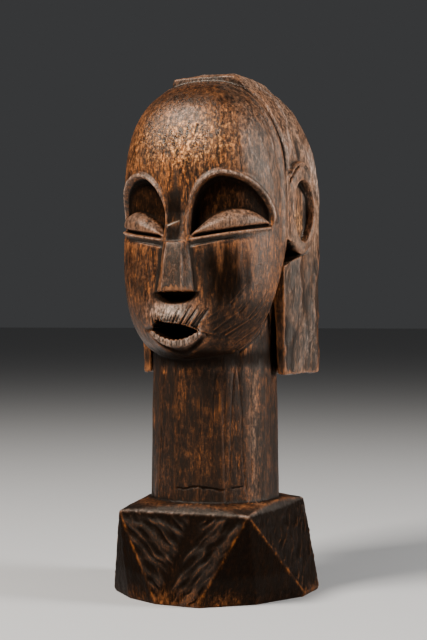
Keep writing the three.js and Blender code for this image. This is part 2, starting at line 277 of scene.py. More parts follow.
def foot_shape(x, y, z):
    total = -inf
    for a, b, c, offset in foot_planes():
        total = np.maximum(total, a * x + b * y + c * z - offset)
    return total


def foot_heights(points):
    """The normals of the foot's planes, and how high each point is above each plane."""
    planes = foot_planes()
    return planes[:, :3], points @ planes[:, :3].T - planes[:, 3]


def foot_arris(points):
    """Distance along the foot's surface to the nearest edge between two facets."""
    normals, heights = foot_heights(points)
    top = heights.argmax(1)
    leaning = np.sqrt(np.maximum(1 - (normals @ normals.T) ** 2, 0))[top]
    gap = heights[np.arange(len(points)), top][:, None] - heights
    return np.where(leaning > 0.42, gap / np.maximum(leaning, 0.42), 99).min(1)


def foot_corner(points):
    """From 0 on the foot's sides and top to 1 on its corner facets, which the paint darkens as shade."""
    normals, heights = foot_heights(points)
    facing = np.degrees(np.arctan2(normals[:, 1], normals[:, 0]))
    corner = (abs(normals[:, 2]) < 0.6) & (abs((facing + 45) % 90 - 45) > 14)
    return smooth(heights[:, corner].max(1) - heights[:, ~corner].max(1), -0.4, 0.4)


def neck_arris(x, y):
    """Degrees from the nearest edge between two of the neck's facets."""
    each = 360 / NECK.facets
    turn = np.degrees(np.arctan2(y, x - NECK.x)) - NECK.first
    return each / 2 - abs((turn + each / 2) % each - each / 2)


def neck_shape(x, y, z):
    share = (z - NECK.from_z) / (NECK.to_z - NECK.from_z)
    radius = (NECK.bottom + (NECK.top - NECK.bottom) * share) * cos(pi / NECK.facets)
    total = np.maximum(NECK.from_z - z, z - NECK.to_z)
    for i in range(NECK.facets):
        facing = radians(NECK.first + i * 360 / NECK.facets)
        total = blend_max(total, (x - NECK.x) * cos(facing) + y * sin(facing) - radius, 1.5)
    return total


# The skull and the face, whose relief is a sheet of heights over the arc from the midline and z.

def rounded_form(offsets, halves, corner, power, tiny=0.0):
    """Distance to a form of these half sizes: corner squares its plan, and power its upright section."""
    wide, deep, tall = halves
    across, along, high = (abs(offset) / half for offset, half in zip(offsets, halves))
    plan = (across**corner + along**corner) ** (1 / corner) + 1e-4
    total = plan**power + high**power + tiny
    slope_x = (across / plan) ** (corner - 1) / wide
    slope_y = (along / plan) ** (corner - 1) / deep
    level = (plan ** (power - 1)) ** 2 * (slope_x**2 + slope_y**2)
    slope = np.sqrt(level + (high ** (power - 1) / tall) ** 2)
    return (total ** (1 / power) - 1) / (total ** (1 / power - 1) * slope + 1e-5)


def skull_centre(z):
    up = z - SKULL.wide_z
    return SKULL.centre_y + up * np.where(up > 0, SKULL.slide_above, SKULL.slide_below)


def skull_arc(x, y, z):
    """How far round the face a place is from the midline, in millimetres."""
    forward = skull_centre(z) - y
    turn = np.arctan2(x / SKULL.half_width, forward / np.where(forward > 0, SKULL.front, SKULL.back))
    return turn * ARC_RADIUS


def skull_shape(x, y, z):
    up = z - SKULL.wide_z
    tall = np.where(up > 0, SKULL.above, SKULL.below)
    power = np.where(up > 0, SKULL.round_above, SKULL.round_below)
    forward = skull_centre(z) - y
    deep = np.where(forward > 0, SKULL.front, SKULL.back)
    return rounded_form((x, forward, up), (SKULL.half_width, deep, tall), SKULL.square, power, 1e-6)


def eye_share(arc):
    """From 0 at the eye's inner corner to 1 at its outer one."""
    return (arc - EYE.inner) / (EYE.outer - EYE.inner)


def eye_bow(arc):
    return np.maximum(np.sin(pi * clamp(eye_share(arc))), 0)


def eye_taper(arc):
    return between(eye_share(arc), 0.0, 0.1, 0.94, 1.03)


def slit_z(arc):
    return EYE.inner_z + (EYE.outer_z - EYE.inner_z) * eye_share(arc)


def under_brow(arc, z):
    """How far below the brow's arch a place is, in millimetres, and below 0 outside it."""
    near_nose = arc < EYE.brow_arc
    power = np.where(near_nose, 2, EYE.brow_bend)
    across = abs(arc - EYE.brow_arc) / np.where(near_nose, EYE.brow_inner, EYE.brow_outer)
    up = abs(z - EYE.brow_z) / EYE.brow_rise
    return (1 - (across**power + up**power) ** (1 / power)) * EYE.brow_rise


def lid_share(arc, z):
    """From 0 at the slit to 1 at the upper lid's top edge."""
    return clamp((z - slit_z(arc)) / np.maximum(EYE.lid_rise * eye_bow(arc) ** 0.8, 0.5))


def eye_relief(arc, z):
    share = eye_share(arc)
    slit = slit_z(arc)
    under = under_brow(arc, z)
    deep = EYE.hollow * (1 + (EYE.outer_share - 1) * clamp(share))
    floor = -deep * np.sqrt(clamp(1 - (1 - clamp(under / EYE.wall)) ** 2))
    up = lid_share(arc, z)
    lid = -EYE.lid_step - (deep - EYE.lid_step) * (1 - (1 - up**3) ** 0.6)
    lid = lid + EYE.lid_swell * np.sin(pi * up) * eye_bow(arc)
    hollow = np.where((share > 0) & (share < 1) & (z > slit), np.maximum(floor, lid), 0)
    # The brow's rim is a flat band, and above it runs a shallow trough.
    arch = smooth(z, slit - 2, slit + 6)
    rim = between(under, -3.4, -2.4, -0.7, 0.1) * arch
    trough = -0.9 * bell(under, -5.0, 1.8) * arch * (1 - 0.6 * smooth(arc, 40, 60))
    # The hollow under the lower lid.
    inner = 1 - 0.8 * smooth(share, 0.35, 0.95)
    lower = -1.7 * bell(slit - z, 5.8, 1.9) * eye_taper(arc) * inner
    return hollow + rim + trough + lower


def slit_relief(arc, z):
    """The dark slit, the thin lower lid and the lower hollow's edge, too fine for the grid."""
    share = eye_share(arc)
    down = slit_z(arc) - z
    slit_cut = -3.2 * bell(down, 0.2, 1.1)
    lower_lid = 1.3 * bell(down, 2.4, 0.65)
    edge = 0.7 * bell(down, 8.4 - 3 * share, 0.9) * fade(share, 0.35, 0.7)
    return (slit_cut + lower_lid + edge) * eye_taper(arc)


def nose_lines(z):
    """The share of the way down the nose's front, and the half widths of its front and its foot there."""
    down = np.maximum(NOSE.face_z - z, 0) / (NOSE.face_z - NOSE.base_z)
    ridge = NOSE.ridge_top + (NOSE.ridge_base - NOSE.ridge_top) * down
    foot = NOSE.foot_top + (NOSE.foot_base - NOSE.foot_top) * down
    return down, ridge, foot


def under_nose(arc, z):
    """Above 0 inside the dark lens under the nose, and 1 in its middle."""
    lens = 1 - (arc / NOSE.lens_half) ** 2 - ((NOSE.base_z - z) / NOSE.lens) ** 2
    return np.where(z < NOSE.base_z, lens, -1)


def nose_relief(arc, z):
    down, ridge, foot = nose_lines(z)
    on_bridge = NOSE.bridge * smooth(NOSE.top_z - z, 0, NOSE.top_z - NOSE.face_z)
    on_face = NOSE.face_top + (NOSE.face_base - NOSE.face_top) * down
    rise = on_bridge + (on_face - on_bridge) * smooth(NOSE.face_z - z, -0.4, 0.8)
    side = 1 - clamp((arc - ridge) / (foot - ridge))
    return np.where(z > NOSE.base_z, rise * side, -NOSE.under * smooth(under_nose(arc, z), 0, 0.85))


def nose_edges(arc, z):
    """The worn arrises of the nose's front, and the crease along the nose's foot."""
    _, ridge, foot = nose_lines(z)
    along = (z > NOSE.base_z) * (z < NOSE.face_z)
    return (0.45 * bell(arc, ridge, 0.8) - 0.8 * bell(arc, foot, 1.1)) * along


def mouth_mound(arc, z):
    height = np.where(z > MOUTH.mound_z, MOUTH.up, MOUTH.down)
    muzzle = MOUTH.mound * bell(z, MOUTH.mound_z, height) * bell(arc, 0, MOUTH.arc)
    return muzzle + MOUTH.lip * bell(z, MOUTH.lip_z, MOUTH.lip_height) * bell(arc, 0, MOUTH.lip_arc)


def lip_line(arc):
    """The height of the lower lip's middle."""
    return LIP.z + LIP.curl * (arc / LIP.arc) ** 2


def mouth_relief(arc, z, side_arc):
    under_lip = -2.4 * bell(z, lip_line(arc) - 5.6, 2.3) * fade(arc, 15, 26)
    chip = -1.6 * bell(side_arc, 1.5, 3.2) * bell(z, 199.8, 2.8)
    return mouth_mound(arc, z) + under_lip + chip


def face_sheet():
    step = 0.4
    arcs = np.arange(-100, 100.1, step, dtype=REAL)
    heights = np.arange(160, 386.1, step, dtype=REAL)
    side_arc, z = np.meshgrid(arcs, heights, indexing="ij")
    arc = abs(side_arc)
    cheeks = -CHEEK.hollow * bell(arc, CHEEK.arc, CHEEK.reach) * bell(z, CHEEK.z, CHEEK.height)
    relief = eye_relief(arc, z) + nose_relief(arc, z) + cheeks + mouth_relief(arc, z, side_arc)
    return arcs, heights, relief.astype(REAL)


def sample_sheet(sheet, arc, z):
    arcs, heights, relief = sheet
    step = arcs[1] - arcs[0]
    i = np.clip((arc - arcs[0]) / step, 0, len(arcs) - 1.01)
    j = np.clip((z - heights[0]) / step, 0, len(heights) - 1.01)
    i0, j0 = i.astype(np.int32), j.astype(np.int32)
    fi, fj = i - i0, j - j0
    low = relief[i0, j0] * (1 - fi) + relief[i0 + 1, j0] * fi
    high = relief[i0, j0 + 1] * (1 - fi) + relief[i0 + 1, j0 + 1] * fi
    return low * (1 - fj) + high * fj


def face_shape(x, y, z):
    egg = skull_shape(x, y, z)
    arc, height = np.broadcast_arrays(skull_arc(x, y, z), z)
    near = abs(egg) < 20
    relief = np.zeros(egg.shape, REAL)
    relief[near] = sample_sheet(face_sheet(), arc[near], height[near])
    # The cut behind the jaw.
    slope = atan2(JAW.ear_z - JAW.chin_z, JAW.ear_y - JAW.chin_y)
    behind = (y - JAW.ear_y) * sin(slope) - (z - JAW.ear_z) * cos(slope)
    return blend_max(egg - relief, behind, 1.4)


def mouth_shape(x, y, z):
    """The open mouth: pointed at both corners, and broken away at the upper left one."""
    arc = skull_arc(x, y, z)
    lens = 1 - (arc / MOUTH.half) ** 2
    ragged = 0.5 * np.sin(arc * 2.6) + 0.35 * np.sin(arc * 4.3 + 1)
    broken = 3.4 * bell(arc, -13.5, 5.5) * (1 + ragged) + 0.7 * ragged * bell(arc, 0, 14)
    top = MOUTH.z + MOUTH.top * lens - 0.05 * arc + broken
    bottom = MOUTH.z - MOUTH.bottom * lens + 0.35 * np.sin(arc * 1.7)
    within = np.maximum(abs(arc) - MOUTH.half - 1, y - MOUTH.back_y)
    return np.maximum(np.maximum(z - top, bottom - z) * 0.95, within)


def lip_shape(x, y, z):
    """The lower lip: a notched round bar bent round the front of the mouth."""
    total = inf
    rng = np.random.default_rng(SEED + 1)
    for i in range(LIP.balls):
        arc = LIP.arc * (i / (LIP.balls - 1) * 2 - 1)
        height = lip_line(arc)
        turn = arc / ARC_RADIUS
        up = (SKULL.wide_z - height) / SKULL.below
        share = (1 - up**SKULL.round_below) ** (1 / SKULL.round_below)
        square = SKULL.square
        size = (abs(sin(turn)) ** square + cos(turn) ** square) ** (1 / square)
        proud = float(mouth_mound(abs(arc), height)) - LIP.sunk
        at_x = sin(turn) / size * (SKULL.half_width * share + proud)
        at_y = float(skull_centre(height)) - cos(turn) / size * (SKULL.front * share + proud)
        radius = LIP.radius * (1 - 0.25 * abs(arc / LIP.arc) ** 3) - rng.uniform(0.3, 1.2) * (i % 2)
        ball = np.sqrt((x - at_x) ** 2 + (y - at_y) ** 2 + (z - height) ** 2) - radius
        total = blend_min(total, ball, 0.7)
    return total


# Lines scored into the face, too fine for the grid.

def scratch(arc, z, start, end, width, depth):
    """A scored line between two places on the face, as depth below the surface."""
    (a0, z0), (a1, z1) = start, end
    along_a, along_z = a1 - a0, z1 - z0
    length = hypot(along_a, along_z)
    part = clamp(((arc - a0) * along_a + (z - z0) * along_z) / length**2)
    gap = np.hypot(arc - a0 - part * along_a, z - z0 - part * along_z)
    return -depth * bell(gap, 0, width) * (1 - 0.75 * part)


def lip_strokes(arc, z):
    """Short upright scores over the upper lip's left half and longer slanting ones over its right."""
    total = np.zeros_like(arc)
    rng = np.random.default_rng(SEED)
    for i in range(30):
        share = i / 29
        at = -19 + 36 * share + rng.uniform(-0.5, 0.5)
        slant = -0.1 + 1.0 * share**1.3 + rng.uniform(-0.12, 0.12)
        length = 6.0 + 7 * share + rng.uniform(-2, 3)
        foot = 197.0 - 0.008 * (at - 1) ** 2
        end = (at + slant * length * 0.8, foot + length)
        total += scratch(arc, z, (at, foot), end, rng.uniform(0.4, 0.7), rng.uniform(1.0, 2.3))
    return total


def lip_notches(arc, z):
    """The lower lip's radial notches, from -1 in a notch to 1 between two."""
    notches = np.sin(arc * 2.7 + 1.3 * np.sin(arc * 0.9)) * bell(z, lip_line(arc), 3.0)
    return notches * fade(abs(arc), 19, 22)


def mouth_lines(arc, z):
    """The strokes over the upper lip and the creases at the corners."""
    lines = lip_strokes(arc, z) + 0.45 * lip_notches(arc, z)
    for crease in CREASES:
        lines += scratch(arc, z, *crease)
    return lines


def jaw_strokes(arc, z):
    """Long curved tool strokes that rise from the chin towards the ear, as depth below the surface."""
    rng = np.random.default_rng(SEED + 2)
    total = np.zeros_like(arc)
    for i in range(9):
        a, b = 20 + 5.2 * i + rng.uniform(-1, 1), 198 - 2.6 * i + rng.uniform(-1, 1)
        middle = (a + 20 + rng.uniform(-2, 2), b + 12 + rng.uniform(-1.5, 1.5))
        end = (middle[0] + 15, middle[1] + 20)
        depth = rng.uniform(0.35, 0.8)
        for start, stop in (((a, b), middle), (middle, end)):
            cut = scratch(arc, z, start, stop, 0.8, depth)
            line = cut - scratch(arc, z - 1.6, start, stop, 0.8, 0.5 * depth)
            total = np.where(abs(line) > abs(total), line, total)
    return total


def temple_lines(arc, z):
    """Thin raised lines between the temple's adze marks."""
    total = np.zeros_like(arc)
    for line in TEMPLE_LINES:
        for start, end in zip(line, line[1:]):
            total = np.minimum(total, scratch(arc, z, start, end, 0.9, 1.0))
    return -total


# The hair, the lappets and the ears.

def behind_hairline(y, z):
    return y - np.interp(z, *zip(*HAIRLINE)).astype(REAL)


def crest_edge(x, softness):
    """From 0 beside the crest to 1 on it: its left end is crisp and its right end slopes away."""
    left = smooth(x + HAIR.crest_half, -softness, softness)
    return left * fade(x, HAIR.crest_right - 7 * softness, HAIR.crest_right + softness)


def hair_shape(x, y, z):
    down = np.maximum(HAIR.dome_z - z, 0) / (HAIR.dome_z - HAIR.bottom_z)
    back = clamp((HAIR.tuck_back - y) / (HAIR.tuck_back - HAIR.tuck_front))
    wide = HAIR.half_width * (HAIR.waist + HAIR.back_flare * y) * (1 - HAIR.tuck * down * back)
    offsets = (x, y - HAIR.centre_y, np.maximum(z - HAIR.dome_z, 0))
    halves = (wide, HAIR.half_depth, HAIR.top_z - HAIR.dome_z)
    dome = rounded_form(offsets, halves, HAIR.corner, HAIR.fullness)
    crest = HAIR.crest_rise * crest_edge(x, 1.2)
    front = -behind_hairline(y, z) - 2 * crest_edge(x, 1.2)
    made = blend_max(dome - crest, front, 1.0)
    # A flat facet along each back corner.
    across, along = HAIR.facet_normal
    made = blend_max(made, (abs(x) - HAIR.facet_x) * across + (y - HAIR.facet_y) * along, 1.0)
    return blend_max(made, HAIR.bottom_z - z, 1.2)


def hair_with_slots(x, y, z):
    side = abs(x)
    wide = np.maximum(SLOT.inner - side, side - SLOT.outer)
    long = np.maximum(SLOT.front - y, y - SLOT.back)
    slot = np.maximum(np.maximum(wide, long), z - SLOT.top)
    return blend_max(hair_shape(x, y, z), -slot, 0.8)


def groove_width(z):
    return 0.8 + (1.0 + 1.5 * smooth(360 - z, 0, 45)) * smooth(z, 300, 310)


def hairline_relief(y, z):
    """The band in front of the hair and the groove behind the band, as height above the surface."""
    behind = behind_hairline(y, z)
    wide = groove_width(z)
    groove = -(1.6 + 3.2 * smooth(z, 302, 310)) * bell(behind, wide * 0.9, wide) * fade(z, 352, 364)
    band = 1.3 * smooth(behind, -7.6, -6.6) * fade(behind, -1.2, 0.2)
    return (groove + band) * smooth(z, 250, 262)


def ear_frame(x, y, z):
    """Coordinates in the ear's own plane: out of it, back along it, and up."""
    turn = radians(EAR.turn)
    dx, dy = abs(x) - EAR.x, y - EAR.y
    return dx * cos(turn) - dy * sin(turn), dx * sin(turn) + dy * cos(turn), z - EAR.z


def oval(a, b, half_a, half_b):
    scaled = np.sqrt((a / half_a) ** 2 + (b / half_b) ** 2) + 1e-4
    slope = np.sqrt((a / half_a**2) ** 2 + (b / half_b**2) ** 2) / scaled
    return (scaled - 1) / (slope + 1e-4)


def ear_shape(x, y, z):
    out, back, up = ear_frame(x, y, z)
    rounded = blend_max(oval(back, up, *EAR.half), out, 3.2)
    # A low ridge over the top of the ring, a little forward.
    ridge = abs(oval(back + 4, up + 1.5, 22, 35)) + abs(out + 1.2) * 0.7 - 2.2
    ridge = np.maximum(ridge, 22 - up)
    return blend_min(np.maximum(rounded, -EAR.thick - out), ridge, 0.8)


def sink_edge(back, up):
    """The outline of the ear's recess, narrower at its foot."""
    return oval((back - EAR.sink_back) * (1 + 0.35 * smooth(-up, 2, 24)), up + 0.5, *EAR.sink)


def ear_sink(x, y, z):
    """The ear's recess, deeper at its back and at its top."""
    out, back, up = ear_frame(x, y, z)
    floor = -2.2 - 4.4 * smooth(back, -8, 10) - 1.4 * smooth(up, 9, 19)
    return blend_max(sink_edge(back, up), floor - out, 0.9)


def ear_gap(x, y, z):
    """A narrow groove round the ear's outline, wider in front of it."""
    out, back, up = ear_frame(x, y, z)
    wide = 0.5 + 0.3 * smooth(-back, 4, 14)
    return np.maximum(abs(oval(back, up, *EAR.half) - 0.8) - wide, abs(out + 3.0) - 1.6)


def lobe_gap(x, y, z):
    """The dark wedge under the lobe, pointed towards the back."""
    back, up = y - WEDGE.y, z - WEDGE.z
    wedge = np.maximum(up - WEDGE.above + back * 0.2, -up - WEDGE.below + back * 0.34)
    return np.maximum(np.maximum(wedge, abs(back) - WEDGE.half), WEDGE.inner - abs(x))


def sculpt():
    volume = Volume(BLOCK)
    volume.join((-77, -80, -5), (77, 78, 82), foot_shape, 0.01)
    volume.join((-54, -56, 50), (58, 56, 268), neck_shape, 1.2)
    volume.join((-77, -60, 152), (77, 78, 386), hair_with_slots, 1.0)
    volume.join((-72, -94, 160), (72, 66, 386), face_shape, 0.8)
    volume.join((-40, -94, 172), (40, -30, 202), lip_shape, 0.8)
    volume.cut((-30, -94, 180), (30, -40, 208), mouth_shape, 0.4)
    for side in (-1, 1):
        low_x, high_x = sorted((side * 44, side * 77))
        volume.cut((low_x, -16, 236), (high_x, 30, 260), lobe_gap, 0.6)
        for change, shape in ((volume.join, ear_shape), (volume.cut, ear_gap), (volume.cut, ear_sink)):
            change((low_x, -12, 240), (high_x, 48, 324), shape, 0.6)
    spans, _, y, z = volume.window((-77, -60, 246), (77, 20, 386))
    volume.field[spans] -= hairline_relief(y, z)
    return volume


def soften(field, passes):
    for _ in range(passes):
        for axis in range(3):
            moved = np.moveaxis(field, axis, 0)
            moved[1:-1] = moved[1:-1] * 0.5 + (moved[:-2] + moved[2:]) * 0.25
    return field


# The surface: a point in each cell that it crosses, joined across each edge that changes sign.

def surface_nets(volume):
    field = volume.field
    inside = field < 0
    shape = tuple(n - 1 for n in field.shape)
    count = np.zeros(shape, np.int8)
    for corner in CORNERS:
        count += inside[tuple(slice(i, i + n) for i, n in zip(corner, shape))]
    mixed = (count > 0) & (count < 8)
    cells = np.argwhere(mixed)
    index = np.full(shape, -1, np.int32)
    index[mixed] = np.arange(len(cells))
    values = {corner: field[tuple((cells + corner).T)] for corner in CORNERS}
    total = np.zeros((len(cells), 3), REAL)
    crossings = np.zeros(len(cells), REAL)
    for first, axis in product(CORNERS, range(3)):
        if first[axis]:
            continue
        a, b = values[first], values[first[:axis] + (1,) + first[axis + 1 :]]
        crossed = (a < 0) != (b < 0)
        share = np.where(crossed, a / np.where(crossed, a - b, 1), 0)
        for n in range(3):
            total[:, n] += crossed * (first[n] + (share if n == axis else 0))
        crossings += crossed
    points = cells + total / crossings[:, None]
    for n, axis in enumerate(volume.axes):
        points[:, n] = np.interp(points[:, n], np.arange(len(axis)), axis)
    quads = []
    for axis in range(3):
        keep = [slice(1, -1)] * 3
        keep[axis] = slice(None)
        spots = np.argwhere(np.diff(inside, axis=axis)[tuple(keep)])
        around = []
        for du, dv in ((0, 0), (1, 0), (1, 1), (0, 1)):
            step = np.zeros(3, int)
            step[axis - 2], step[axis - 1] = du, dv
            around.append(tuple((spots + step).T))
        quad = np.stack([index[near] for near in around], 1)
        outside = ~inside[around[2]]
        quad[outside] = quad[outside, ::-1]
        quads.append(quad)
    return points.astype(REAL), np.concatenate(quads)


def quad_normals(points, quads):
    a, b, c, d = (points[quads[:, n]] for n in range(4))
    face = np.cross(c - a, d - b)
    normals = np.zeros_like(points)
    for axis in range(3):
        normals[:, axis] = np.bincount(quads.ravel(), np.repeat(face[:, axis], 4), len(points))
    return normals / (np.linalg.norm(normals, axis=1, keepdims=True) + 1e-9)


# Places on the carving, for the tooling and for the paint.

def zones(points):
    """The arc from the midline, and each point's share of the face, the hair, the neck and the foot."""
    x, y, z = points.T
    hair = smooth(behind_hairline(y, z), -1, 1.5) * smooth(z, 155, 163)
    face = smooth(z, 160, 172) * (1 - hair) * smooth(-y, -12, 2) * smooth(skull_shape(x, y, z), -16, -11)
    foot = fade(z, 66, 72)
    neck = (1 - foot) * (1 - clamp(face + hair))
    return skull_arc(x, y, z), face, hair, neck, foot


def crust_share(arc, z, face):
    return face * bell(z, 326, 17) * bell(arc, 4, 32)


def adze_marks(points):
    return scallops(points, (15, 15, 27), 1)


def split_line(points):
    """The broken line of the split low on the neck's front."""
    x, y, z = points.T
    wave = NECK.split_z + 0.8 * np.sin(x * 0.21) + 0.9 * value_noise(points, (3, 5, 5), 11)
    broken = smooth(value_noise(points, (5, 5, 5), 13), -0.55, -0.05)
    return bell(z, wave, 0.85) * smooth(x, -14, -8) * fade(x, 34, 40) * (y < 0) * broken


def slanted(points, degrees):
    """The points turned in the plane of the front, so that noise long in z runs aslant."""
    x, y, z = points.T
    turn = radians(degrees)
    aslant = [x * cos(turn) + z * sin(turn), y, z * cos(turn) - x * sin(turn)]
    return np.stack(aslant, 1).astype(REAL)


def foot_spine(x, z):
    """Distance from the smooth band on the foot's front, along which its strokes meet."""
    return x + 15 - 0.43 * z


def hewn_strokes(points):
    """The foot's slanting strokes, which meet as in a herringbone: 0 in a stroke, 1 between two."""
    x, y, z = points.T
    spine = foot_spine(x, z)
    sideways = (abs(x) > abs(y))[:, None]
    points = np.where(sideways, points[:, [1, 0, 2]], points)
    ridge = 0
    for turn, share, seed in ((48, fade(spine, -1, 1), 7), (-44, smooth(spine, -1, 1), 8)):
        bent = slanted(points, turn) + 2.0 * value_noise(points, (9, 9, 9), seed + 8)[:, None]
        near, _ = scallops(bent, (4.2, 9, 17), seed)
        ridge += share * (near + 0.3 * layered_noise(bent, (1.8, 4, 12), seed))
    return ridge * (1 - 0.8 * bell(spine, 0, 4.5) * (y < 0))


def tooling(points):
    """How far tool marks, grain, cracks and wear raise each point of the surface, in millimetres."""
    x, y, z = points.T
    arc, face, hair, neck, foot = zones(points)
    total = np.zeros(len(points), REAL)
    # Adze facets: shallow scoops, larger on the temple, the hair and the neck.
    temple = face * smooth(arc, 22, 46) * smooth(z, 268, 292)
    low = smooth(HAIR.dome_z - z, 0, 20)
    near, _ = adze_marks(points)
    total += (0.9 * temple + (1.5 + 1.3 * low) * hair + 0.3 * face + 0.4 * neck) * (near**2 - 0.3)
    near, _ = scallops(points, (8, 8, 15), 2)
    total += (0.3 * temple + 0.35 * hair + 0.6 * (hair * low) + 0.1 * face) * (near**2 - 0.3)
    # Upright grain.
    total += 0.10 * layered_noise(points, (3.2, 3.2, 44), 3) * (1 + 0.8 * neck)
    total += 0.30 * layered_noise(points, (14, 14, 60), 4) * (1 - 0.6 * face)
    # Drying cracks along the grain.
    crack = value_noise(points, (7, 7, 120), 5)
    total -= 0.4 * smooth(-abs(crack), -0.05, 0) * (neck + 0.5 * hair + 0.3 * foot)
    # The crusted forehead.
    total += 0.30 * crust_share(arc, z, face) * layered_noise(points, (2.4, 2.4, 2.4), 6)
    # The foot's front and sides are hewn with slanting strokes, and its corners are smoother.
    hewn = foot * fade(z, 60, 64) * (1 - 0.9 * foot_corner(points)) * smooth(foot_arris(points), 0.3, 3)
    total += 2.4 * hewn * (hewn_strokes(points) ** 2 - 0.3)
    total += 0.25 * foot * layered_noise(points, (3, 3, 3), 10)
    # A split across the grain, low on the neck.
    total -= 0.75 * neck * split_line(points)
    # The thin lines of the eyes, the nose and the mouth.
    total += face * (slit_relief(abs(arc), z) + nose_edges(abs(arc), z))
    total += face * mouth_lines(arc, z) * smooth(mouth_shape(x, y, z), 0.1, 0.8)
    # The jaw's strokes, the temple's lines, the forehead's scar and the bridge's scratch.
    total += face * jaw_strokes(arc, z)
    marks = scratch(arc, z, *BROW_SCAR) + scratch(arc, z, *BRIDGE_SCRATCH)
    total += face * (0.4 * temple_lines(arc, z) + marks)
    # The flat underside stays flat.
    return total * smooth(z, 0.5, 4)


def new_mesh(name, points, quads):
    mesh = bpy.data.meshes.new(name)
    mesh.vertices.add(len(points))
    mesh.vertices.foreach_set("co", (points * MM).astype(REAL).ravel())
    mesh.loops.add(quads.size)
    mesh.loops.foreach_set("vertex_index", quads.astype(np.int32).ravel())
    mesh.polygons.add(len(quads))
    mesh.polygons.foreach_set("loop_start", np.arange(0, quads.size, 4, dtype=np.int32))
    mesh.update(calc_edges=True)
    mesh.validate()
    return mesh


def thin_out(piece):
    """Decimates the mesh to the most triangles that it may have."""
    triangles = sum(len(polygon.vertices) - 2 for polygon in piece.data.polygons)
    modifier = piece.modifiers.new("thin", "DECIMATE")
    modifier.ratio = MOST_TRIANGLES / triangles
    made = bpy.data.meshes.new_from_object(piece.evaluated_get(bpy.context.evaluated_depsgraph_get()))
    piece.modifiers.clear()
    old = piece.data
    piece.data = made
    bpy.data.meshes.remove(old)


def rows(items, name, width, kind=REAL):
    values = np.empty(len(items) * width, kind)
    items.foreach_get(name, values)
    return values.reshape(-1, width)


def surface_bend(mesh, passes):
    """How far each point stands out of the smoothed surface: above 0 on ridges, below 0 in creases."""
    points = rows(mesh.vertices, "co", 3) / MM
    edges = rows(mesh.edges, "vertices", 2, np.int32)
    ends, others = edges.T.ravel(), edges[:, ::-1].T.ravel()
    degree = np.maximum(np.bincount(ends, minlength=len(points)), 1)[:, None]
    rounded = points.copy()
    for _ in range(passes):
        total = np.stack([np.bincount(ends, rounded[others, n], len(points)) for n in range(3)], 1)
        rounded = (0.4 * rounded + 0.6 * total / degree).astype(REAL)
    return np.sum((points - rounded) * rows(mesh.vertices, "normal", 3), axis=1)


def hollow_at(volume, points):
    """How enclosed each point is by the wood near it, from about -1 on a corner to 1 in a deep hollow."""
    low = np.array([axis[0] for axis in volume.axes])
    picks = [np.searchsorted(axis, np.arange(axis[0], axis[-1], HOLLOW_STEP)) for axis in volume.axes]
    wood = (volume.field[np.ix_(*picks)] < 0).astype(REAL)
    coarse = soften(wood, round((HOLLOW_REACH / HOLLOW_STEP) ** 2 / 1.5))
    at = np.clip((points - low) / HOLLOW_STEP, 0, np.array(coarse.shape) - 1.01)
    cell = at.astype(np.int32)
    total = 0
    for corner, share in corner_shares(at - cell):
        total += share * coarse[tuple((cell + corner).T)]
    return (total - 0.5) * 2


def in_scene(name, data):
    made = bpy.data.objects.new(name, data)
    bpy.context.collection.objects.link(made)
    return made


def carve_head():
    volume = sculpt()
    soften(volume.field, 1)
    points, quads = surface_nets(volume)
    points = points + quad_normals(points, quads) * tooling(points)[:, None]
    piece = in_scene("carved_wood_head", new_mesh("carved_wood_head", points, quads))
    thin_out(piece)
    mesh = piece.data
    mesh.shade_smooth()
    places = rows(mesh.vertices, "co", 3) / MM
    beside_split = bell(places[:, 2], NECK.split_z, 6) * (places[:, 1] < 0)
    stored = {name: clamp(values) for name, values in paint_zones(places).items()}
    # How the surface bends: for the worn edges, and for the painted shade in its creases.
    stored["bend"] = surface_bend(mesh, 6) * (1 - beside_split)
    # How enclosed each point is: for the painted shade in hollows.
    stored["hollow"] = hollow_at(volume, places)
    for name, values in stored.items():
        mesh.attributes.new(name, "FLOAT", "POINT").data.foreach_set("value", values.astype(REAL))
    return piece


def strongest(*shares):
    return np.maximum.reduce(shares)


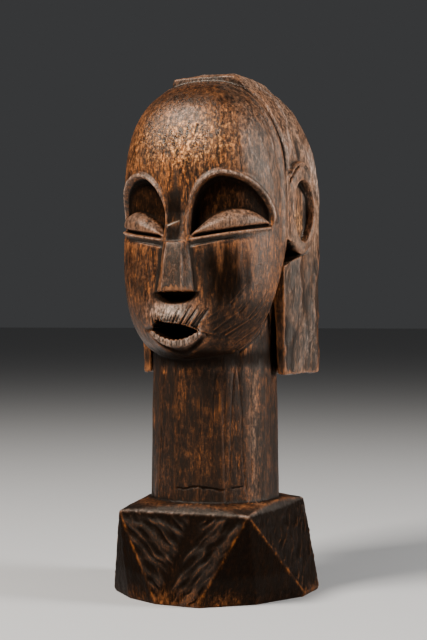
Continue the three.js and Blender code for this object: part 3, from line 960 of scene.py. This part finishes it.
def paint_zones(points):
    """Where the surface is painted black, pale, warm, crusted, matte or silvery, each from 0 to 1: patina,
    stains and wear, and also painted shade in recesses and under overhangs, and painted highlights.
    """
    x, y, z = points.T
    side_arc, face, hair, neck, foot = zones(points)
    arc, side = abs(side_arc), abs(x)

    # The eyes.
    under = under_brow(arc, z)
    down = slit_z(arc) - z
    lid_top = smooth(lid_share(arc, z), 0.93, 1.0)
    eye = between(arc, EYE.inner - 1, EYE.inner + 1, EYE.outer - 2, EYE.outer) * face * smooth(-down, -1, 1)
    lid = eye * (1 - lid_top)
    # The sockets are painted black for their dark patina, and darkest just under the brow as painted shade.
    socket = eye * lid_top * smooth(under, 0.2, 1.6)
    # The brow's rim is painted pale, with a painted highlight in silver.
    rim = face * between(under, -3.4, -2.4, -0.8, 0) * smooth(-down, 0, 8)
    rim = rim * (1 - 0.75 * fade(arc, 13, 20) * fade(z, 276, 294))
    tapered = face * eye_taper(arc)
    # Painted shade: the slit is painted nearly black.
    slit = tapered * bell(down, 0.2, 1.3)
    # Painted highlight: the thin lower lid is pale and silver.
    lower_lid = tapered * bell(down, 2.4, 0.6)
    # Painted shade: the hollow under the lower lid is painted dark.
    lower = tapered * bell(down, 5.4, 2.2) * (1 - 0.6 * smooth(arc, 40, 60))

    # The nose.
    _, ridge, nose_foot = nose_lines(z)
    bridge = face * fade(abs(side_arc + 1.6), 4.2, 6.2) * smooth(z, NOSE.face_z, NOSE.face_z + 1.5)
    bridge = bridge * (1 - 0.5 * smooth(z, 280, 292)) * fade(z, 290, 326)
    # Painted shadow: black in the lens under the nose.
    shadow_under_nose = face * smooth(under_nose(arc, z), -0.35, 0.1) * (z < NOSE.base_z + 0.5)
    on_nose = face * between(z, 218, 221, 252, 256)
    past_ridge = smooth(arc, ridge, ridge + 0.8)
    nose_front = on_nose * (1 - past_ridge)
    # Painted shade: the nose's right side plane is painted darker than its left, and the crease along its
    # foot nearly black.
    nose_side = on_nose * past_ridge * fade(arc, nose_foot - 1.2, nose_foot - 0.2)
    nose_crease_shade = on_nose * bell(arc, nose_foot + 0.9, 1.7)
    nose_arris = on_nose * bell(arc, ridge + 0.2, 0.7)

    # The mouth.
    # Painted shade: black inside the open mouth.
    mouth = face * fade(mouth_shape(x, y, z), 0.1, 0.7) * (z < 206)
    # Painted highlight: the upper lip's mound is pale and silver.
    mound = face * bell(z, 205, 8.5) * bell(side_arc, -4, 21)
    strokes = face * clamp(-0.8 * lip_strokes(side_arc, z))
    notches = face * clamp(-0.9 * lip_notches(side_arc, z))
    # Painted highlight: the lower lip is pale and silver.
    lip = face * bell(z, lip_line(arc), 3.4) * fade(arc, 19, 22)
    # Painted shadow: dark under the lower lip.
    shadow_below_lip = face * bell(z, lip_line(arc) - 6.5, 3.0) * fade(arc, 18, 30)

    # The cheeks, the chin and the forehead.
    patch = 0.6 * layered_noise(points, (4, 4, 24), 14, 3) + np.hypot((side_arc - 36) / 18, (z - 229) / 26)
    cheek = face * fade(patch, 0.1, 1.6)
    low_cheek = face * smooth(side_arc, 18, 32) * fade(z, 205, 232)
    low_left = face * smooth(-side_arc, 12, 30) * fade(z, 240, 262)
    chin = face * fade(z, 176, 186)
    temple = face * smooth(side_arc, 20, 56) * smooth(z, 256, 290)
    brow_mark = face * clamp(-1.4 * scratch(side_arc, z, *BROW_SCAR))
    scar = face * clamp(-1.6 * scratch(side_arc, z, *BRIDGE_SCRATCH))

    # The hair, its band and its groove, and the patches of black on the lappets.
    behind = behind_hairline(y, z)
    wide = groove_width(z)
    low_hair = smooth(HAIR.dome_z - z, 0, 20)
    # Painted shade: the groove behind the hair's band is painted black.
    groove = between(behind, -0.4, 0.3, wide * 1.8, wide * 2.2)
    groove = groove * smooth(z, 246, 262) * (1 - 0.7 * smooth(z, 336, 358))
    band = between(behind, -8.4, -6.6, -1, 0.2) * smooth(z, 240, 262)
    stain = hair * bell(z, 322, 18) * bell(y, 19, 4.5)
    past_patch = y + 8 - 20 * clamp((207 - z) / 17) - 2.5 * value_noise(points, (5, 5, 9), 16)
    lappet_low = hair * fade(past_patch, -2, 2) * fade(z, 198, 208)
    lappet_line = hair * bell(past_patch, 0.5, 1.6) * between(z, 172, 182, 200, 212)
    lappet_rear = hair * smooth(y, 40, 50) * fade(z, 240, 262) * (side > 45)
    near, facet = adze_marks(points)

    # The ears.
    out, back, up = ear_frame(x, y, z)
    ear_edge = sink_edge(back, up)
    ear_floor = smooth(-ear_edge, -0.5, 1.0) * smooth(-out, 0.8, 2.0)
    ear_front = hair * smooth(-back, 3, 10) * (side > 55)
    # Painted shade: the back and top of the ear's recess are painted dark.
    ear_back_shade = ear_floor * np.maximum(smooth(back, 7.5, 10.5), smooth(up, 12, 18))
    ear_base = ear_floor * (1 - ear_back_shade)
    # Painted shadow: black in the wedge under the lobe.
    wedge = fade(lobe_gap(x, y, z), 0.1, 0.9) * hair * smooth(oval(back, up, *EAR.half), -0.2, 0.8)

    # The neck and the foot.
    streaks = layered_noise(points, (4, 4, 55), 15)
    # Painted highlight: one upright facet of the neck is paler and less black.
    lit_facet_strip = neck * bell(np.degrees(np.arctan2(y, x - NECK.x)), -29, 9)
    split = 0.9 * neck * smooth(split_line(points), 0.2, 0.7)
    # Painted shadow: the neck's top under the jaw is nearly black.
    jaw_shadow = neck * smooth(z, 158, 178)
    neck_black = neck * (0.57 + 0.14 * streaks - 0.16 * lit_facet_strip)
    corner = foot * foot_corner(points)
    hewn = foot * fade(z, 60, 64) * (1 - corner)
    # Painted shade: the corner facets are black, less so near the bottom.
    corner_shade = corner * (1 - 0.65 * smooth(26 - z, 0, 22))
    stroke = hewn * smooth(hewn_strokes(points), 0.3, 0.8)
    on_band = hewn * bell(foot_spine(x, z), 0, 5) * (y < 0)
    foot_low = foot * fade(z, 2, 19)
    foot_top = foot * smooth(z, FOOT.edge_z - 0.8, FOOT.edge_z + 0.4)
    # Painted highlight: a pale line along the top edge of the foot.
    foot_edge_highlight = foot * bell(z, FOOT.edge_z, 1.6)
    sideways = foot * smooth(side - abs(y), -4, 4) * (1 - foot_top)
    foot_black = foot * (0.8 - 0.24 * stroke - 0.42 * foot_low - 0.2 * on_band - 0.1 * foot_top)
    foot_matte = 0.85 * foot * (1 - 0.5 * stroke) * (1 - foot_top)

    black = strongest(
        socket * (1 - 0.42 * smooth(under, 2, 9)), 0.36 * lid, 0.95 * slit, 0.88 * lower,
        0.9 * bridge, 0.55 * nose_front, (0.5 - 0.3 * (side_arc < 0)) * nose_side, 0.9 * nose_crease_shade, shadow_under_nose,
        mouth, strokes, 0.8 * notches, 0.9 * shadow_below_lip, 0.9 * chin,
        0.95 * cheek, 0.58 * low_cheek, 0.45 * low_left, 0.25 * face, 0.4 * temple, brow_mark,
        0.5 * face * smooth(z, 340, 356),
        groove, (0.25 + 0.25 * low_hair) * hair, 0.75 * stain, 0.78 * lappet_low, lappet_line,
        0.38 * ear_floor, 0.6 * ear_back_shade, 0.7 * ear_front * bell(ear_edge, -1.0, 0.8), wedge,
        0.9 * jaw_shadow, neck_black, split, corner_shade, foot_black + 0.25 * sideways,
    )
    pale = strongest(
        0.8 * rim, 0.52 * lid, 0.9 * lower_lid, 0.6 * tapered * bell(down, 1.5, 5),
        0.45 * nose_front, 0.4 * nose_side, 0.9 * mound, 0.9 * lip, 0.5 * temple, 0.2 * face, 0.55 * band,
        0.52 * hair * (1 - 0.6 * lappet_low - 0.6 * lappet_rear), 0.5 * lit_facet_strip, 0.5 * foot_top,
        0.9 * foot_edge_highlight,
    )
    warm = strongest(
        0.3 * face * smooth(-side_arc, 20, 45) * smooth(285 - z, 0, 20),
        0.9 * face * bell(z, 300, 16) * bell(side_arc, -10, 26), 0.6 * nose_front * fade(z, 222, 236),
        0.8 * lappet_rear, ear_base, neck * (0.4 + 0.5 * streaks), 0.9 * foot_low,
    )
    matte = strongest(
        socket, slit, 0.8 * bridge, shadow_under_nose, mouth, shadow_below_lip, cheek, 0.6 * low_cheek, 0.8 * chin,
        groove, wedge, 0.5 * ear_back_shade, 0.8 * jaw_shadow, 0.5 * neck, split, corner_shade, foot_matte,
        0.8 * sideways,
    )
    # Silver: painted highlights on the lips, the lower lid, the brow's rim and the lid, and pale wear on the
    # nose's arrises and the ear's front edge.
    silver = strongest(
        0.36 * mound, 0.7 * lip, 0.6 * lower_lid, 0.3 * rim, 0.1 * lid, 0.4 * nose_arris,
        0.6 * ear_front * bell(ear_edge, 0.7, 0.8),
    )
    # The forehead's silver patch is a painted highlight; the temple's raised lines and the hair's worn ridges
    # are pale.
    silver = strongest(
        silver * (1 - np.maximum(strokes, notches)), 0.55 * face * temple_lines(side_arc, z),
        0.4 * face * bell(z, 343, 7) * bell(side_arc, 3, 13), 0.5 * hair * smooth(near, 0.62, 0.85),
    )
    foot_line = foot * bell(foot_arris(points), 0, 0.8) * smooth(z, 1, 5)
    keep = 1 - clamp(strongest(slit, mouth, shadow_under_nose))
    return dict(
        black=black, pale=pale * keep, warm=warm, matte=matte, silver=silver * keep, scar=scar, foot=foot,
        crust=strongest(crust_share(side_arc, z, face), 0.7 * ear_base * smooth(-up, -6, 6)),
        facet=facet * clamp(hair + 0.5 * neck),
        arris=foot_line + 0.2 * neck * bell(neck_arris(x, y), 0, 1.0),
    )


# The wood's material.

class Nodes:
    """Short calls for a material's nodes: an input is a number, a colour or another node's output."""

    def __init__(self, name):
        self.material = bpy.data.materials.new(name)
        self.material.use_nodes = True
        self.tree = self.material.node_tree
        self.tree.nodes.clear()

    def add(self, kind, inputs=None, output=0, **settings):
        node = self.tree.nodes.new(kind)
        for key, value in settings.items():
            setattr(node, key, value)
        for key, value in (inputs or {}).items():
            if isinstance(value, bpy.types.NodeSocket):
                self.tree.links.new(value, node.inputs[key])
            else:
                node.inputs[key].default_value = value
        return node.outputs[output]

    def surface(self, inputs):
        """The finished material, with one shader of these inputs."""
        made = self.tree.nodes.new("ShaderNodeOutputMaterial")
        self.tree.links.new(self.add("ShaderNodeBsdfPrincipled", inputs), made.inputs["Surface"])
        return self.material

    def noise(self, size, detail, rough, seed, distortion=0.0):
        """Noise whose bumps are about these millimetres wide."""
        place = {
            "Vector": self.add("ShaderNodeTexCoord", output="Object"),
            "Scale": [1 / (value * MM) for value in size],
            "Location": (seed, seed * 2, seed * 3),
        }
        settings = {"Scale": 1.0, "Detail": detail, "Roughness": rough, "Distortion": distortion}
        return self.add("ShaderNodeTexNoise", {"Vector": self.add("ShaderNodeMapping", place), **settings})

    def span(self, value, low, high, to_low=0.0, to_high=1.0):
        ends = {"Value": value, "From Min": low, "From Max": high, "To Min": to_low, "To Max": to_high}
        return self.add("ShaderNodeMapRange", ends, interpolation_type="SMOOTHSTEP")

    def math(self, operation, *values):
        return self.add("ShaderNodeMath", dict(enumerate(values)), operation=operation)

    def times(self, a, b):
        return self.math("MULTIPLY", a, b)

    def sum(self, *terms):
        """The sum of values, each times its own weight."""
        total = 0.0
        for value, weight in terms:
            total = self.math("MULTIPLY_ADD", value, weight, total)
        return total

    def mix(self, share, a, b, blend="MIX"):
        # The colour mix has its factor and its two colours at these places.
        return self.add(
            "ShaderNodeMix", {0: share, 6: a, 7: b}, 2, data_type="RGBA", blend_type=blend, clamp_factor=True
        )


def colour(red, green, blue):
    return (red, green, blue, 1.0)


def wood_material():
    nodes = Nodes("worn_dark_wood")
    span, times = nodes.span, nodes.times
    stored = "black pale warm crust facet foot arris matte silver scar bend hollow"
    black_here, pale_here, warm_here, crust, facet, foot, arris, matte, highlight_and_wear_here, scar, bend, hollow = (
        nodes.add("ShaderNodeAttribute", output="Fac", attribute_name=name) for name in stored.split()
    )

    # The bumps' size in millimetres, detail, roughness, seed and distortion.
    fine_grain = nodes.noise((1.2, 1.2, 9), 5, 0.74, 1.3)
    broad_grain = nodes.noise((5, 5, 30), 6, 0.7, 4.1, 0.4)
    short_grain = nodes.noise((2.2, 2.2, 6), 3, 0.6, 3.3)
    patches = nodes.noise((20, 20, 30), 9, 0.7, 7.7)
    specks = nodes.noise((1.9, 1.9, 2.2), 3, 0.8, 2.9)
    clumps = nodes.noise((6, 6, 8), 5, 0.7, 5.5)
    veins = nodes.noise((17, 17, 60), 3, 0.55, 9.2, 0.5)

    dark = colour(0.03, 0.011, 0.0045)
    brown = colour(0.105, 0.036, 0.0105)
    orange = colour(0.35, 0.108, 0.022)
    black = colour(0.0045, 0.0024, 0.0013)
    scarred = colour(0.62, 0.44, 0.32)
    ash = colour(0.22, 0.128, 0.08)
    silver = colour(0.3, 0.228, 0.188)
    golden = colour(0.56, 0.245, 0.078)

    warmth = nodes.sum((fine_grain, 1), (warm_here, 0.10), (foot, -0.09))
    paleness = nodes.sum((patches, 0.35), (broad_grain, 0.35), (pale_here, 0.55), (facet, 0.15))
    vein = span(nodes.math("ABSOLUTE", nodes.math("SUBTRACT", veins, 0.5)), 0.020, 0.004)
    vein = times(vein, span(clumps, 0.42, 0.55))
    grit = times(crust, span(clumps, 0.36, 0.52, 0.35, 1.0))
    shade = nodes.sum((fine_grain, 0.45), (specks, 0.3), (clumps, 0.25))
    blackness = nodes.sum(
        (patches, 0.20), (fine_grain, 0.35), (clumps, 0.20), (broad_grain, 0.25), (black_here, 0.24)
    )
    edge = span(nodes.sum((bend, 1), (foot, -0.06)), 0.10, 0.42)
    worn = times(edge, span(fine_grain, 0.36, 0.6, 0.0, 0.9))
    worn = times(worn, span(black_here, 0.75, 0.98, 1.0, 0.0))
    rubbed = nodes.mix(pale_here, nodes.mix(foot, orange, brown), ash)

    # The coats over the brown grain, from the lowest up: how much each covers, and its colour.
    coats = [
        (span(warmth, 0.52, 0.70, 0.0, 0.8), orange),
        (span(paleness, 0.46, 0.90, 0.0, 0.85), ash),
        (times(vein, span(pale_here, 0.55, 0.75, 0.0, 0.5)), silver),
        # Silver: painted highlights on the lips, lids, brow rims and forehead, and pale wear on ridges and
        # arrises.
        (times(highlight_and_wear_here, span(clumps, 0.36, 0.54, 0.35, 1.0)), silver),
        (times(grit, span(specks, 0.48, 0.60)), golden),
        (1.0, span(shade, 0.40, 0.60, 0.22, 1.88), "MULTIPLY"),
        (1.0, span(short_grain, 0.42, 0.58, 0.50, 1.64), "MULTIPLY"),
        (span(blackness, 0.575, 0.65, 0.0, 0.97), black),
        (times(grit, span(specks, 0.45, 0.36)), black),
        (worn, rubbed),
        (times(arris, span(clumps, 0.46, 0.62, 0.05, 0.7)), nodes.mix(pale_here, orange, silver)),
        # Painted shade: black in the creases, where the surface bends inwards.
        (span(bend, -0.06, -0.34, 0.0, 0.92), black),
        # Painted shade: black in the hollows that the wood encloses.
        (span(hollow, 0.18, 0.52, 0.0, 0.92), black),
        (scar, scarred),
    ]
    base = nodes.mix(span(broad_grain, 0.38, 0.60), dark, brown)
    for share, tint, *blend in coats:
        base = nodes.mix(share, base, tint, *blend)

    rough = span(broad_grain, 0.35, 0.65, 0.24, 0.40)
    rough = nodes.sum((rough, 1), (specks, 0.14), (crust, -0.11), (matte, 0.16), (highlight_and_wear_here, -0.05))
    pits = times(specks, span(nodes.sum((crust, 1), (foot, 1)), 0.0, 1.0, 0.45, 1.2))
    height = nodes.sum((fine_grain, 0.7), (pits, 1), (broad_grain, 0.6))
    return nodes.surface({
        "Base Color": base,
        "Roughness": rough,
        "Normal": nodes.add("ShaderNodeBump", {"Height": height, "Strength": 0.9, "Distance": 0.00058}),
        "Specular IOR Level": span(matte, 0.0, 1.0, 0.46, 0.03),
        "Specular Tint": colour(1.0, 0.84, 0.70),
    })


# The stage, the lights and the camera, in metres.

CAMERA = Sizes(turn=24, far=1.0, height=0.2)
FLOOR = [(-30, -30, 0), (30, -30, 0), (30, 30, 0), (-30, 30, 0)]


def camera():
    made = in_scene("camera", bpy.data.cameras.new("camera"))
    turn = radians(CAMERA.turn)
    made.location = (CAMERA.far * sin(turn), -CAMERA.far * cos(turn), CAMERA.height)
    made.rotation_euler = (pi / 2, 0, turn)
    made.data.lens = 76.5
    made.data.sensor_width = 36
    made.data.clip_start = 0.01
    bpy.context.scene.camera = made


def soft_light(name, place, size, watts, tint=(1, 1, 1)):
    """An area light that faces the middle of the head."""
    data = bpy.data.lights.new(name, "AREA")
    data.shape = "RECTANGLE"
    data.size, data.size_y = size
    data.energy = watts
    data.color = tint
    made = in_scene(name, data)
    made.location = place
    made.rotation_euler = (Vector((0, 0, 0.25)) - Vector(place)).to_track_quat("-Z", "Y").to_euler()


def studio():
    floor = bpy.data.meshes.new("floor")
    floor.from_pydata(FLOOR, [], [(0, 1, 2, 3)])
    pale = {"Base Color": colour(0.62, 0.61, 0.6), "Roughness": 0.8}
    floor.materials.append(Nodes("pale_floor").surface(pale))
    made = in_scene("floor", floor)
    world = bpy.data.worlds.new("studio")
    bpy.context.scene.world = world
    world.use_nodes = True
    background = world.node_tree.nodes["Background"]
    background.inputs["Color"].default_value = (0.9, 0.92, 0.95, 1)
    background.inputs["Strength"].default_value = 0.05
    soft_light("key", (-0.50, -0.95, 1.28), (0.42, 0.42), 42, (1, 0.96, 0.91))
    soft_light("side", (1.25, 0.22, 0.62), (0.3, 1.1), 24)


head = carve_head()
head.data.materials.append(wood_material())
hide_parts("carved_head")
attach(head, "root")

studio()
camera()
